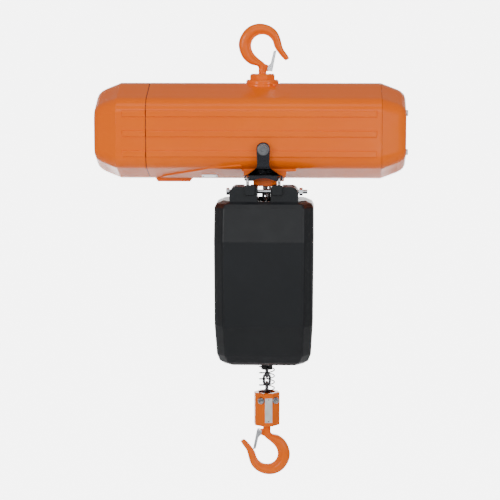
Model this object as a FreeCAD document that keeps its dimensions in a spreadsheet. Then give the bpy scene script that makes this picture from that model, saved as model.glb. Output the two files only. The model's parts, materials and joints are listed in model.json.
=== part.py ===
"""Electric chain hoist: a suspension hook, a load hook on a round-link chain and a hanging chain container.

Millimetres. +Z is up, +X runs along the motor and gear shafts towards the gear end, and -Y is the
front, where the chain container hangs. The origin is the seat of the suspension hook, on the hook's swivel axis.
The driving dimensions are cells of the spreadsheet "dims", and each sub-part is an object of the document.
"""

import FreeCAD, Part

import math
import os

import Sketcher

Vector = FreeCAD.Vector
Rotation = FreeCAD.Rotation
Placement = FreeCAD.Placement

DIMENSIONS = {
    # housing: a six-sided tube, ridged at top and bottom, with a chamfered cover at each end
    "body_z": -142,
    "half_depth": 82.5,
    "face_half_height": 46.5,
    "apex_half_height": 74.2,
    "corner_radius": 22,
    "ridge_radius": 60,
    "wall": 5,
    "left_end_x": -244,
    "left_corner_x": -210,
    "seam_x": -166,
    "right_corner_x": 175,
    "right_end_x": 211,
    "seal_gap": 1,
    "rib_left_x": -201,
    "rib_right_x": 168,
    "rib_height": 9.2,
    "rib_pitch": 29,
    "rib_proud": 1.6,
    "rib_fillet": 1.3,
    "internal_gap": 0.3,
    # suspension
    "cap_top_z": -57.6,
    "cap_bottom_z": -66.2,
    "cap_radius": 19,
    "flange_radius": 24.2,
    "roof_boss_radius": 25.4,
    "flange_bottom_z": -72.4,
    "stem_radius": 16,
    "stem_bottom_z": -84,
    "suspension_nut_height": 9,
    # hooks
    "throat_radius": 16.6,
    "shank_radius": 5.8,
    "shank_thread_radius": 5.5,
    "load_hook_z": -631.5,
    # shafts and gears
    "wheel_x": 7,
    "wheel_y": -19.53,
    "motor_y": 22,
    "motor_shaft_radius": 7,
    "motor_shaft_end_radius": 4.5,
    "inter_shaft_radius": 6,
    "wheel_shaft_radius": 9,
    "running_gap": 0.05,
    "module_first": 1,
    "module_second": 1.25,
    "teeth_motor": 15,
    "teeth_inter": 53,
    "teeth_inter_pinion": 16,
    "teeth_output": 51,
    # chain: round steel links, wire by pitch
    "chain_pitch": 12,
    "chain_wire": 4,
    "link_wire": 3.9,
    "link_inner_length": 12.1,
    "link_inner_width": 5.1,
    "pockets": 5,
    "load_links": 34,
    # hook block
    "block_top_z": -536.6,
    "block_bottom_z": -587.1,
    "block_half_width": 18.8,
    "block_turn": 10,
    # container
    "container_x": 5.5,
    "container_bottom_z": -477,
    "container_wall": 3,
    "hanger_x": 4,
    "hanger_bolt_z": -164,
    "strap_thickness": 4.5,
    "swing_y": -75,
    "swing_z": -226,
    "rod_radius": 3,
    "eye_z": -206,
    "eye_left_x": -19,
    "eye_right_x": 27,
}

doc = FreeCAD.newDocument("chain_hoist")
sheet = doc.addObject("Spreadsheet::Sheet", "dims")
for row, (name, value) in enumerate(DIMENSIONS.items(), start=1):
    sheet.set(f"A{row}", name)
    sheet.set(f"B{row}", str(value))
    sheet.setAlias(f"B{row}", name)
doc.recompute()

nodes = []


# ---------------------------------------------------------------- helpers


def value(expression):
    """The number that an expression in the spreadsheet's cells gives; a plain number passes through."""
    return float(sheet.evalExpression(str(expression)))


def cell(name):
    """One driving dimension."""
    return float(sheet.get(name))


def bind(target, **expressions):
    """Binds properties of an object to spreadsheet expressions; a double underscore stands for a dot."""
    for name, expression in expressions.items():
        target.setExpression(name.replace("__", "."), str(expression))


def place(target, x=0, y=0, z=0, turn=None):
    """Binds an object's place to the spreadsheet and turns it from +Z to another axis."""
    if turn is not None:
        target.Placement = Placement(Vector(), turn)
    bind(target, Placement__Base__x=x, Placement__Base__y=y, Placement__Base__z=z)


ALONG_X = Rotation(Vector(0, 1, 0), 90)
ALONG_FRONT = Rotation(Vector(1, 0, 0), 90)


def node(target, label):
    """Marks an object as a sub-part and gives it the name of its file."""
    target.Label = label
    nodes.append(target)
    return target


def feature(label, shape):
    """A sub-part whose shape comes from Part's own functions."""
    made = doc.addObject("Part::Feature", label)
    made.Shape = shape
    return node(made, label)


def closed_sketch(body, plane_role, points, name):
    """A sketch of one closed polygon whose corners are spreadsheet expressions."""
    sketch = body.newObject("Sketcher::SketchObject", name)
    plane = next(item for item in body.Origin.OriginFeatures if item.Role == plane_role)
    sketch.AttachmentSupport = (plane, [""])
    sketch.MapMode = "FlatFace"
    corners = [Vector(value(a), value(b), 0) for a, b in points]
    for start, end in zip(corners, corners[1:] + corners[:1]):
        sketch.addGeometry(Part.LineSegment(start, end), False)
    count = len(points)
    for i in range(count):
        sketch.addConstraint(Sketcher.Constraint("Coincident", i, 2, (i + 1) % count, 1))
    for i, (across, up) in enumerate(points):
        distances = (("DistanceX", across, corners[i].x), ("DistanceY", up, corners[i].y))
        for kind, expression, number in distances:
            index = sketch.addConstraint(Sketcher.Constraint(kind, -1, 1, i, 1, number))
            sketch.setExpression(f"Constraints[{index}]", str(expression))
    return sketch


def revolved(label, profile, x=0, y=0, z=0, turn=None):
    """A PartDesign body: a closed (radius, height) profile turned about the body's own Z axis."""
    body = doc.addObject("PartDesign::Body", label)
    sketch = closed_sketch(body, "XZ_Plane", profile, label + "_profile")
    turned = body.newObject("PartDesign::Revolution", label + "_revolution")
    turned.Profile = sketch
    turned.ReferenceAxis = (sketch, ["V_Axis"])
    turned.Angle = 360
    place(body, x, y, z, turn)
    return node(body, label)


def ring_profile(inner, outer, low, high):
    """The corners of a ring's section."""
    return [(inner, low), (outer, low), (outer, high), (inner, high)]


def cylinder(radius, length, x, y, z, turn=None):
    """A bound Part::Cylinder."""
    made = doc.addObject("Part::Cylinder", "cylinder")
    bind(made, Radius=radius, Height=length)
    place(made, x, y, z, turn)
    return made


def box(length, width, height, x, y, z):
    """A bound Part::Box with its lowest corner at x, y, z."""
    made = doc.addObject("Part::Box", "box")
    bind(made, Length=length, Width=width, Height=height)
    place(made, x, y, z)
    return made


def fused(parts):
    """A Part::MultiFuse of several objects."""
    made = doc.addObject("Part::MultiFuse", "fuse")
    made.Shapes = parts
    return made


def cut(base, tools):
    """A Part::Cut of one object by several."""
    made = doc.addObject("Part::Cut", "cut")
    made.Base = base
    made.Tool = tools[0] if len(tools) == 1 else fused(tools)
    return made


def group(label, parts):
    """Several separate solids that share one node, as a Part::Compound."""
    made = doc.addObject("Part::Compound", label)
    made.Links = parts
    return node(made, label)


def outline_edges(points, radii):
    """Straight runs joined by tangent arcs, one radius to each corner; 0 leaves the corner sharp."""
    count = len(points)
    stops = []
    for i, corner in enumerate(points):
        back = (points[i - 1] - corner).normalize()
        ahead = (points[(i + 1) % count] - corner).normalize()
        half = back.getAngle(ahead) / 2
        if radii[i] == 0:
            stops.append((corner, None, corner))
            continue
        reach = radii[i] / math.tan(half)
        middle = corner + (back + ahead).normalize() * (radii[i] / math.sin(half) - radii[i])
        stops.append((corner + back * reach, middle, corner + ahead * reach))
    edges = []
    for i, (arc_start, middle, arc_end) in enumerate(stops):
        if middle is not None:
            edges.append(Part.Arc(arc_start, middle, arc_end).toShape())
        following = stops[(i + 1) % count][0]
        if arc_end.distanceToPoint(following) > 1e-6:
            edges.append(Part.makeLine(arc_end, following))
    return edges


def rounded_wire(points, radii):
    return Part.Wire(outline_edges(points, radii))


def prism(points, radii, along):
    """A rounded outline pushed along a vector."""
    return Part.Face(rounded_wire(points, radii)).extrude(along)


def block(x_low, x_high, y_low, y_high, z_low, z_high):
    """A plain box shape between two corners."""
    return Part.makeBox(x_high - x_low, y_high - y_low, z_high - z_low, Vector(x_low, y_low, z_low))


def rod(radius, start, end):
    """A cylinder shape from one point to another."""
    return Part.makeCylinder(radius, (end - start).Length, start, end - start)


def rims(shape, axis, level):
    """The closed edges whose middle lies at one level along an axis."""
    closed = [edge for edge in shape.Edges if edge.Closed]
    return [edge for edge in closed if abs(getattr(edge.CenterOfMass, axis) - level) < 1e-6]


def disc_face(centre, radius, normal):
    return Part.Face(Part.Wire(Part.makeCircle(radius, centre, normal)))


def fuse_all(shapes):
    made = shapes[0]
    if len(shapes) > 1:
        made = shapes[0].multiFuse(shapes[1:])
    return made.removeSplitter()


# ---------------------------------------------------------------- housing

HALF_DEPTH = cell("half_depth")
FACE_HALF = cell("face_half_height")
APEX_HALF = cell("apex_half_height")
BODY_Z = cell("body_z")
WALL = cell("wall")
SLOPE = math.atan((APEX_HALF - FACE_HALF) / HALF_DEPTH)


def housing_wire(x, inset=0.0, less_depth=0.0, less_height=0.0):
    """The housing's section at x, offset inwards by inset, or drawn in towards an end face."""
    depth = HALF_DEPTH - inset - less_depth
    apex = APEX_HALF - inset / math.cos(SLOPE) - less_height
    face = apex - math.tan(SLOPE) * depth
    if less_depth:
        face = FACE_HALF - inset - less_height
    points = [
        Vector(x, -depth, BODY_Z - face),
        Vector(x, 0, BODY_Z - apex),
        Vector(x, depth, BODY_Z - face),
        Vector(x, depth, BODY_Z + face),
        Vector(x, 0, BODY_Z + apex),
        Vector(x, -depth, BODY_Z + face),
    ]
    corner = cell("corner_radius") - inset - less_depth / 3
    ridge = cell("ridge_radius") - inset
    return rounded_wire(points, [corner, ridge, corner, corner, ridge, corner])


def housing_prism(x_low, x_high, inset=0.0):
    return Part.Face(housing_wire(x_low, inset)).extrude(Vector(x_high - x_low, 0, 0))


# How a closed end draws in: distance from the end face, then less depth and less height than the full section.
END_STEPS = [(12, 11, 7.8), (6, 14.2, 10.6), (2, 17.4, 13.8), (0, 20.6, 17.4)]


def end_taper(corner_x, end_x, inset=0.0):
    """The chamfered end between the full section and the smaller end face, rounded over towards the face."""
    inward = 1 if corner_x > end_x else -1
    wires = [housing_wire(corner_x, inset)]
    for distance, less_depth, less_height in END_STEPS:
        wires.append(housing_wire(end_x + inward * distance, inset, less_depth, less_height))
    return Part.makeLoft(wires, True, True)


PAD_BOTTOM = -197.2
REAR_PAD_BOTTOM = -214.4
ENTRY_TOP = -212.7
ENTRY_LEFT, ENTRY_RIGHT = -159, -104
ENTRY_FRONT, ENTRY_BACK = -8, 54
GUIDE_X, GUIDE_HALF = 6, 28


def upright_edges(shape):
    """The straight edges that run along Z."""
    boxes = [(edge, edge.BoundBox) for edge in shape.Edges]
    return [edge for edge, box in boxes if box.ZLength > 1 and box.DiagonalLength - box.ZLength < 1e-3]


def guide_screw_places():
    """Where the chain guide's screws enter the housing: x, y and the height of the face."""
    return [(GUIDE_X - 23, -62.5, PAD_BOTTOM), (GUIDE_X + 23, -62.5, PAD_BOTTOM),
            (GUIDE_X - 13, 28, REAR_PAD_BOTTOM), (GUIDE_X + 13, 28, REAR_PAD_BOTTOM)]


def ribs(x_low, x_high):
    """The raised bars along the front and back faces: three to a face, with eased edges."""
    bars = []
    for side in (-1, 1):
        for level in (-1, 0, 1):
            centre = BODY_Z + level * cell("rib_pitch")
            half = cell("rib_height") / 2
            root = HALF_DEPTH - 2
            tip = HALF_DEPTH + cell("rib_proud")
            low, high = sorted((side * root, side * tip))
            bar = block(x_low, x_high, low, high, centre - half, centre + half)
            outer = [e for e in bar.Edges if all(abs(v.Y - side * tip) < 1e-6 for v in e.Vertexes)]
            bars.append(bar.makeFillet(cell("rib_fillet"), outer))
    return bars


def underside_swelling():
    """A low raised field on the underside's front slope, from the cable entry up to the chain guide."""
    corners = [Vector(-150, -20, BODY_Z - 90), Vector(-146, -29, BODY_Z - 90), Vector(-76, -73, BODY_Z - 90),
               Vector(-28, -78, BODY_Z - 90), Vector(-20, -20, BODY_Z - 90)]
    column = prism(corners, [0, 3, 30, 3, 0], Vector(0, 0, 60))
    return housing_prism(-155, -15, -1.6).common(column)


def main_housing():
    """The cast tube, open at both ends, with its pads, bosses and openings."""
    left, right = cell("seam_x"), cell("right_corner_x")
    outer = housing_prism(left, right)
    front_pad = block(-28, 52, -68, -40, PAD_BOTTOM, BODY_Z - 40)
    rear_pad = block(-22, 36, 20, 36, REAR_PAD_BOTTOM, BODY_Z - 55)
    front, back = ENTRY_FRONT - 2, ENTRY_BACK + 2
    entry_pad = block(ENTRY_LEFT - 1, ENTRY_RIGHT + 1, front, back, ENTRY_TOP, BODY_Z - 50)
    pads = [pad.makeFillet(3.5, upright_edges(pad)) for pad in (front_pad, rear_pad, entry_pad)]
    plug = Part.makeSphere(2.4, Vector(17.5, -25, cell("flange_bottom_z") - 1.2))
    whole = outer.multiFuse(pads + [underside_swelling(), plug] + ribs(left, cell("rib_right_x")))
    shell = whole.cut(housing_prism(left - 1, right + 1, WALL))
    flange_bottom = cell("flange_bottom_z")
    bolt_x, bolt_z = cell("hanger_x"), cell("hanger_bolt_z")
    bolt_boss = rod(11, Vector(bolt_x, 1 - HALF_DEPTH, bolt_z), Vector(bolt_x, 16 - HALF_DEPTH, bolt_z))
    roof_boss = rod(cell("roof_boss_radius"), Vector(0, 0, cell("stem_bottom_z")), Vector(0, 0, flange_bottom))
    roof_boss = roof_boss.makeFillet(1.4, rims(roof_boss, "z", flange_bottom))
    shell = shell.multiFuse([bolt_boss, roof_boss])
    openings = [
        rod(cell("stem_radius") + 0.3, Vector(0, 0, BODY_Z + 20), Vector(0, 0, flange_bottom + 1)),
        rod(cell("roof_boss_radius") + 1.2, Vector(0, 0, flange_bottom), Vector(0, 0, flange_bottom + 20)),
        block(GUIDE_X - GUIDE_HALF, GUIDE_X + GUIDE_HALF, -58, 20, BODY_Z - 90, BODY_Z - 42),
        block(ENTRY_LEFT + 6, ENTRY_RIGHT - 6, ENTRY_FRONT + 6, ENTRY_BACK - 6, BODY_Z - 90, BODY_Z - 45),
        block(ENTRY_LEFT - 2, ENTRY_RIGHT + 2, front - 1, back + 1, BODY_Z - 90, ENTRY_TOP),
        rod(5.1, Vector(bolt_x, -HALF_DEPTH - 5, bolt_z), Vector(bolt_x, 17 - HALF_DEPTH, bolt_z)),
    ]
    for x, y, bottom in guide_screw_places():
        openings.append(rod(2.05, Vector(x, y, bottom), Vector(x, y, bottom + 17)))
    return shell.cut(openings[0].multiFuse(openings[1:])).removeSplitter()


def electric_cover():
    seam = cell("seam_x") - cell("seal_gap")
    corner, end = cell("left_corner_x"), cell("left_end_x")
    outer = housing_prism(corner, seam).fuse(end_taper(corner, end))
    outer = outer.multiFuse(ribs(cell("rib_left_x"), seam))
    inner = housing_prism(corner, seam + 1, WALL).fuse(end_taper(corner, end + WALL, WALL))
    shell = outer.cut(inner)
    for y in (-40, 40):
        for z in (-24, 24):
            post = rod(7, Vector(end + 2, y, BODY_Z + z), Vector(seam - 0.5, y, BODY_Z + z))
            shell = shell.fuse(post)
            shell = shell.cut(rod(2.7, Vector(end - 2, y, BODY_Z + z), Vector(seam + 2, y, BODY_Z + z)))
            shell = shell.cut(rod(5.2, Vector(end - 2, y, BODY_Z + z), Vector(end + 5, y, BODY_Z + z)))
    return shell.removeSplitter()


def gear_cover():
    seam = cell("right_corner_x") + 0.4
    end = cell("right_end_x")
    shell = end_taper(seam, end).cut(end_taper(seam - 0.01, end - WALL, WALL))
    for y in (-40, 40):
        for z in (-28.5, 28.5):
            shell = shell.fuse(rod(7, Vector(seam, y, BODY_Z + z), Vector(end - 2, y, BODY_Z + z)))
            shell = shell.cut(rod(2.7, Vector(seam - 2, y, BODY_Z + z), Vector(end + 2, y, BODY_Z + z)))
    return shell.removeSplitter()


def section_seal(x_low, x_high, recess):
    """A flat gasket that follows the housing's wall."""
    outer = Part.Face(housing_wire(x_low, recess)).extrude(Vector(x_high - x_low, 0, 0))
    inner = Part.Face(housing_wire(x_low, WALL)).extrude(Vector(x_high - x_low, 0, 0))
    return outer.cut(inner)


def cover_screw(x_head, head_height, direction, y, z, length):
    """A socket screw that runs along X, its head at x_head and its shank inwards."""
    start = Vector(x_head, y, z)
    inwards = Vector(direction, 0, 0)
    head = rod(4.4, start, start + inwards * head_height)
    head = head.makeChamfer(0.6, rims(head, "x", x_head))
    shank = rod(2.4, start + inwards * (head_height - 0.2), start + inwards * length)
    socket = hexagon_prism(2, start - inwards, inwards * 3.2)
    return head.fuse(shank).cut(socket).removeSplitter()


def hexagon_prism(apothem, start, along):
    """A six-sided prism by its half width across the flats."""
    radius = apothem / math.cos(math.radians(30))
    axis = Vector(along).normalize()
    side = axis.cross(Vector(0, 0, 1))
    if side.Length < 0.1:
        side = axis.cross(Vector(1, 0, 0))
    side.normalize()
    other = axis.cross(side)
    ring = []
    for i in range(7):
        angle = math.radians(60 * i + 30)
        ring.append(start + side * (radius * math.cos(angle)) + other * (radius * math.sin(angle)))
    return Part.Face(Part.makePolygon(ring)).extrude(along)


def bulkhead(x_low, x_high, bores, windows=()):
    """A plate across the inside of the housing, bored for its bearings."""
    plate = housing_prism(x_low, x_high, WALL + cell("internal_gap"))
    plate = plate.cut(rod(24, Vector(0, 0, -60), Vector(0, 0, -86)))
    for radius, y, z in bores:
        plate = plate.cut(rod(radius, Vector(x_low - 1, y, z), Vector(x_high + 1, y, z)))
    for window in windows:
        plate = plate.cut(window)
    return plate.removeSplitter()


# ---------------------------------------------------------------- gears


def involute_gear(teeth, module, span, centre, bore, phase):
    """A spur gear with stub involute teeth; phase turns it, in radians, so that the pairs mesh at rest."""
    x_low, x_high = span
    y, z = centre
    pressure = math.radians(20)
    pitch_radius = module * teeth / 2
    base = pitch_radius * math.cos(pressure)
    tip = pitch_radius + 0.8 * module
    root = pitch_radius - 1.05 * module
    backlash = 0.09 * module
    half_tooth = math.pi / (2 * teeth) - backlash / (2 * pitch_radius)
    involute_pressure = math.tan(pressure) - pressure

    def flank_angle(radius):
        """Half the tooth's angle at a radius."""
        at = math.acos(min(1.0, base / radius))
        return half_tooth + involute_pressure - (math.tan(at) - at)

    def spot(radius, angle):
        return Vector(x_low, y + radius * math.cos(angle), z + radius * math.sin(angle))

    start = max(base, root)
    radii = [start + (tip - start) * (i / 5) ** 1.5 for i in range(6)]
    step = 2 * math.pi / teeth
    edges = []
    for tooth in range(teeth):
        middle = phase + tooth * step
        rising = [spot(r, middle - flank_angle(r)) for r in radii]
        falling = [spot(r, middle + flank_angle(r)) for r in reversed(radii)]
        foot = flank_angle(start)
        if start > root:
            edges.append(Part.makeLine(spot(root, middle - foot), rising[0]))
        edges.append(flank(rising))
        edges.append(Part.Arc(rising[-1], spot(tip, middle), falling[0]).toShape())
        edges.append(flank(falling))
        if start > root:
            edges.append(Part.makeLine(falling[-1], spot(root, middle + foot)))
        edges.append(Part.Arc(spot(root, middle + foot), spot(root, middle + step / 2),
                              spot(root, middle + step - foot)).toShape())
    blank = Part.Face(Part.Wire(edges)).extrude(Vector(x_high - x_low, 0, 0))
    return blank.cut(rod(bore, Vector(x_low - 1, y, z), Vector(x_high + 1, y, z)))


def flank(points):
    curve = Part.BSplineCurve()
    curve.interpolate(points)
    return curve.toShape()


PRESS_GAP = 0.005
WHEEL_X, WHEEL_Y, WHEEL_Z = cell("wheel_x"), cell("wheel_y"), BODY_Z
MOTOR_Y, MOTOR_Z = cell("motor_y"), BODY_Z
FIRST_DISTANCE = cell("module_first") * (cell("teeth_motor") + cell("teeth_inter")) / 2
SECOND_DISTANCE = cell("module_second") * (cell("teeth_inter_pinion") + cell("teeth_output")) / 2
SPAN = MOTOR_Y - WHEEL_Y
ALONG = (SECOND_DISTANCE ** 2 - FIRST_DISTANCE ** 2 + SPAN ** 2) / (2 * SPAN)
INTER_Y = WHEEL_Y + ALONG
INTER_Z = WHEEL_Z + math.sqrt(SECOND_DISTANCE ** 2 - ALONG ** 2)


def mesh_phase(teeth, towards, tooth_there):
    """The phase that puts a tooth, or a gap, on the line towards the mating gear."""
    return towards if tooth_there else towards + math.pi / teeth


def gear(label, teeth, module, span, centre, bore, phase):
    """One gear of the train on its shaft."""
    count = int(cell(teeth))
    feature(label, involute_gear(count, cell(module), span, centre, cell(bore) + PRESS_GAP, phase))


def gear_train():
    """Two spur stages between the gear bulkhead and the end plate."""
    motor, inter, wheel = (MOTOR_Y, MOTOR_Z), (INTER_Y, INTER_Z), (WHEEL_Y, WHEEL_Z)
    motor_to_inter = math.atan2(INTER_Z - MOTOR_Z, INTER_Y - MOTOR_Y)
    inter_to_wheel = math.atan2(WHEEL_Z - INTER_Z, WHEEL_Y - INTER_Y)
    gear("motor_pinion", "teeth_motor", "module_first", (118, 134), motor, "motor_shaft_end_radius",
         mesh_phase(cell("teeth_motor"), motor_to_inter, True))
    gear("intermediate_gear", "teeth_inter", "module_first", (120, 132), inter, "inter_shaft_radius",
         mesh_phase(cell("teeth_inter"), motor_to_inter + math.pi, False))
    gear("intermediate_pinion", "teeth_inter_pinion", "module_second", (138, 158), inter, "inter_shaft_radius",
         mesh_phase(cell("teeth_inter_pinion"), inter_to_wheel, True))
    gear("output_gear", "teeth_output", "module_second", (140, 156), wheel, "wheel_shaft_radius",
         mesh_phase(cell("teeth_output"), inter_to_wheel + math.pi, False))


# ---------------------------------------------------------------- chain

PITCH, WIRE = cell("chain_pitch"), cell("chain_wire")
PIVOT_RADIUS = math.hypot(PITCH / math.sin(math.pi / (2 * cell("pockets"))),
                          WIRE / math.cos(math.pi / (2 * cell("pockets")))) / 2
FLAT_CHORD, STANDING_CHORD = PITCH + WIRE, PITCH - WIRE


def chain_link():
    """One link, its length along Z and its width along X, centred on the origin."""
    wire = cell("link_wire") / 2
    bend = cell("link_inner_width") / 2 + wire
    straight = cell("link_inner_length") / 2 - cell("link_inner_width") / 2
    pieces = []
    for side in (-1, 1):
        section = disc_face(Vector(side * bend, 0, -straight), wire, Vector(0, 0, 1))
        pieces.append(section.extrude(Vector(0, 0, 2 * straight)))
        crown = Part.Face(Part.Wire(Part.makeCircle(wire, Vector(bend, 0, side * straight), Vector(0, 0, 1))))
        pieces.append(crown.revolve(Vector(0, 0, side * straight), Vector(0, -side, 0), 180))
    return fuse_all(pieces)


LINK = chain_link()


def link_at(centre, along, width):
    """A link with its length and width along two directions."""
    long_axis = Vector(along).normalize()
    wide_axis = Vector(width)
    third = long_axis.cross(wide_axis).normalize()
    wide_axis = third.cross(long_axis)
    turn = Rotation(wide_axis, third, long_axis, "ZXY")
    made = LINK.copy()
    made.Placement = Placement(centre, turn)
    return made


def link_between(start, end, flat):
    """A link in a run whose bends all turn about X: a flat one lies along X, a standing one across it."""
    along = end - start
    width = Vector(1, 0, 0) if flat else Vector(0, -along.z, along.y).normalize()
    return link_at((start + end) / 2, along, width)


def wheel_pivot(angle):
    """A joint between two links on the pocket wheel, at an angle from +Y."""
    return Vector(WHEEL_X, WHEEL_Y + PIVOT_RADIUS * math.cos(angle), WHEEL_Z + PIVOT_RADIUS * math.sin(angle))


FLAT_ANGLE = 2 * math.asin(FLAT_CHORD / 2 / PIVOT_RADIUS)
STANDING_ANGLE = 2 * math.asin(STANDING_CHORD / 2 / PIVOT_RADIUS)
SLACK_RUN = 8


def wheel_chain():
    """The links in the wheel's pockets and the slack run that drops from them towards the container."""
    links = []
    angle = 0.0
    flat = True
    for _ in range(5):
        following = angle + (FLAT_ANGLE if flat else STANDING_ANGLE)
        links.append(link_between(wheel_pivot(angle), wheel_pivot(following), flat))
        angle = following
        flat = not flat
    top = wheel_pivot(angle)
    for i in range(SLACK_RUN):
        centre = top - Vector(0, 0, STANDING_CHORD / 2 + PITCH * i)
        links.append(link_at(centre, Vector(0, 0, 1), Vector(0, 1, 0) if i % 2 == 0 else Vector(1, 0, 0)))
    return Part.makeCompound(links)


def slack_top():
    """The place of the first stored link's upper joint."""
    return wheel_pivot(3 * FLAT_ANGLE + 2 * STANDING_ANGLE) - Vector(0, 0, PITCH * SLACK_RUN)


def stored_chain():
    """The slack end in the container: straight down, then folded to and fro along its floor."""
    turn = 13.5
    floor = cell("container_bottom_z") + cell("container_wall") + 7.5
    start = slack_top()
    y_back, y_front = start.y - turn, start.y - 52
    route = [start]
    level = floor + turn

    def arc(centre_y, centre_z, first, last):
        steps = 60
        for i in range(1, steps + 1):
            angle = math.radians(first + (last - first) * i / steps)
            around = Vector(0, turn * math.cos(angle), turn * math.sin(angle))
            route.append(Vector(WHEEL_X, centre_y, centre_z) + around)

    route.append(Vector(WHEEL_X, start.y, level))
    arc(y_back, level, 0, -90)
    route.append(Vector(WHEEL_X, y_front, floor))
    arc(y_front, level, -90, -270)
    route.append(Vector(WHEEL_X, y_back - 2 * turn, floor + 2 * turn))
    links = []
    spot, leg, flat = start, 0, False
    while True:
        chord = FLAT_CHORD if flat else STANDING_CHORD
        found, leg = next_pivot(route, leg, spot, chord)
        if found is None:
            return Part.makeCompound(links)
        links.append(link_between(spot, found, flat))
        spot = found
        flat = not flat


def next_pivot(route, leg, spot, chord):
    """The next point on a route at a chord's distance, and the leg that it lies on."""
    for i in range(leg, len(route) - 1):
        low, high = route[i], route[i + 1]
        if high.distanceToPoint(spot) < chord:
            continue
        along = high - low
        a = along.dot(along)
        b = 2 * along.dot(low - spot)
        c = (low - spot).dot(low - spot) - chord ** 2
        share = (-b + math.sqrt(b * b - 4 * a * c)) / (2 * a)
        return low + along * share, i
    return None, len(route)


def load_chain():
    """The straight run from the wheel to the hook block; it turns a little with the block on its way down."""
    links = []
    count = int(cell("load_links"))
    for i in range(count):
        centre = Vector(WHEEL_X, 0, WHEEL_Z - STANDING_CHORD / 2 - PITCH * i)
        twist = math.radians(cell("block_turn")) * i / (count - 1)
        across = twist + (math.pi / 2 if i % 2 == 0 else 0)
        links.append(link_at(centre, Vector(0, 0, 1), Vector(math.cos(across), math.sin(across), 0)))
    return Part.makeCompound(links)


def pocket_wheel():
    """The load wheel: a groove for the standing links and a pocket for each flat one."""
    half_width = 10.5
    tooth_tip = 21.6
    pocket_floor = math.sqrt(PIVOT_RADIUS ** 2 - (FLAT_CHORD / 2) ** 2) - cell("link_wire") / 2 - 0.15
    centre = Vector(WHEEL_X - half_width, WHEEL_Y, WHEEL_Z)
    wheel = rod(tooth_tip, centre, centre + Vector(2 * half_width, 0, 0))
    groove = 12.2
    middle = centre + Vector(half_width, 0, 0)
    ring = rod(tooth_tip + 1, middle - Vector(2.5, 0, 0), middle + Vector(2.5, 0, 0))
    wheel = wheel.cut(ring.cut(rod(groove, centre, centre + Vector(2 * half_width, 0, 0))))
    length = cell("link_inner_length") + 2 * cell("link_wire") + 1.0
    width = cell("link_inner_width") + 2 * cell("link_wire") + 0.8
    for i in range(int(cell("pockets"))):
        angle = FLAT_ANGLE / 2 + i * (FLAT_ANGLE + STANDING_ANGLE)
        corners = [Vector(sx * width / 2, sy * length / 2, pocket_floor)
                   for sx, sy in ((-1, -1), (1, -1), (1, 1), (-1, 1))]
        pocket = prism(corners, [width / 2 - 0.05] * 4, Vector(0, 0, 14))
        pocket.Placement = Placement(Vector(WHEEL_X, WHEEL_Y, WHEEL_Z),
                                     Rotation(Vector(1, 0, 0), math.degrees(angle) - 90))
        wheel = wheel.cut(pocket)
    wheel = wheel.cut(fuse_all(leaving_reliefs(width / 2)))
    start, end = centre - Vector(1, 0, 0), centre + Vector(2 * half_width + 1, 0, 0)
    return wheel.cut(rod(cell("wheel_shaft_radius") + PRESS_GAP, start, end)).removeSplitter()


def leaving_reliefs(half_width):
    """Flats on the wheel's teeth that clear the flat links as they leave it on either side."""
    depth = 2.4
    made = []
    for y_low, y_high in ((-depth, 6), (2 * WHEEL_Y - 6, 2 * WHEEL_Y + depth)):
        flat = block(WHEEL_X - half_width, WHEEL_X + half_width, y_low, y_high, WHEEL_Z - 28, WHEEL_Z - 5.6)
        for i in range(int(cell("pockets"))):
            turned = flat.copy()
            turned.rotate(Vector(WHEEL_X, WHEEL_Y, WHEEL_Z), Vector(1, 0, 0), 360 / cell("pockets") * i)
            made.append(turned)
    return made


# ---------------------------------------------------------------- hooks

# Stations round the bowl, from the neck to the tip, about the throat's centre with the tip to the left:
# inner point, outer point (each x, z) and the forging's width across the hook's plane.
HOOK_STATIONS = [
    ((-5.6, 38.5), (5.6, 38.5), 11.2),
    ((-5.2, 32.0), (5.8, 33.2), 11.6),
    ((-3.4, 26.2), (8.6, 29.6), 12.2),
    ((1.4, 21.8), (15.0, 28.2), 13.2),
    ((7.2, 17.2), (22.9, 24.0), 14.2),
    ((12.1, 12.0), (29.6, 16.8), 15.0),
    ((15.4, 6.2), (33.8, 7.6), 15.4),
    ((16.6, -0.4), (35.4, -2.0), 15.6),
    ((15.3, -6.6), (33.4, -11.8), 15.6),
    ((11.8, -11.8), (27.5, -21.8), 15.6),
    ((6.3, -15.4), (18.3, -29.4), 15.4),
    ((0.0, -16.6), (5.3, -32.9), 14.8),
    ((-6.2, -15.4), (-7.3, -31.0), 13.8),
    ((-11.5, -11.8), (-17.4, -25.4), 12.6),
    ((-15.5, -5.9), (-24.6, -15.9), 11.2),
    ((-17.7, 1.0), (-28.2, -4.2), 9.8),
    ((-21.4, 7.3), (-30.6, 3.7), 9.0),
    ((-25.9, 13.2), (-34.2, 9.4), 8.6),
    ((-30.2, 18.0), (-37.4, 13.9), 8.0),
    ((-34.6, 21.6), (-40.0, 18.2), 6.2),
]


def hook_section(inner, outer, width):
    """A closed section: broad on the inside of the bowl, narrower on the outside."""
    middle = (inner + outer) / 2
    across = (outer - inner) / 2
    edges = []
    for side in (1, -1):
        lean = Vector(0, side * width / 2, 0)
        spots = [inner, middle - across * 0.78 + lean * 0.6, middle - across * 0.2 + lean,
                 middle + across * 0.62 + lean * 0.86, outer]
        if side < 0:
            spots.reverse()
        curve = Part.BSplineCurve()
        curve.interpolate(Points=spots, InitialTangent=lean * 2, FinalTangent=lean * -2)
        edges.append(curve.toShape())
    return Part.Wire(edges)


LATCH_PIVOT = (-10.2, 33.6)


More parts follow.
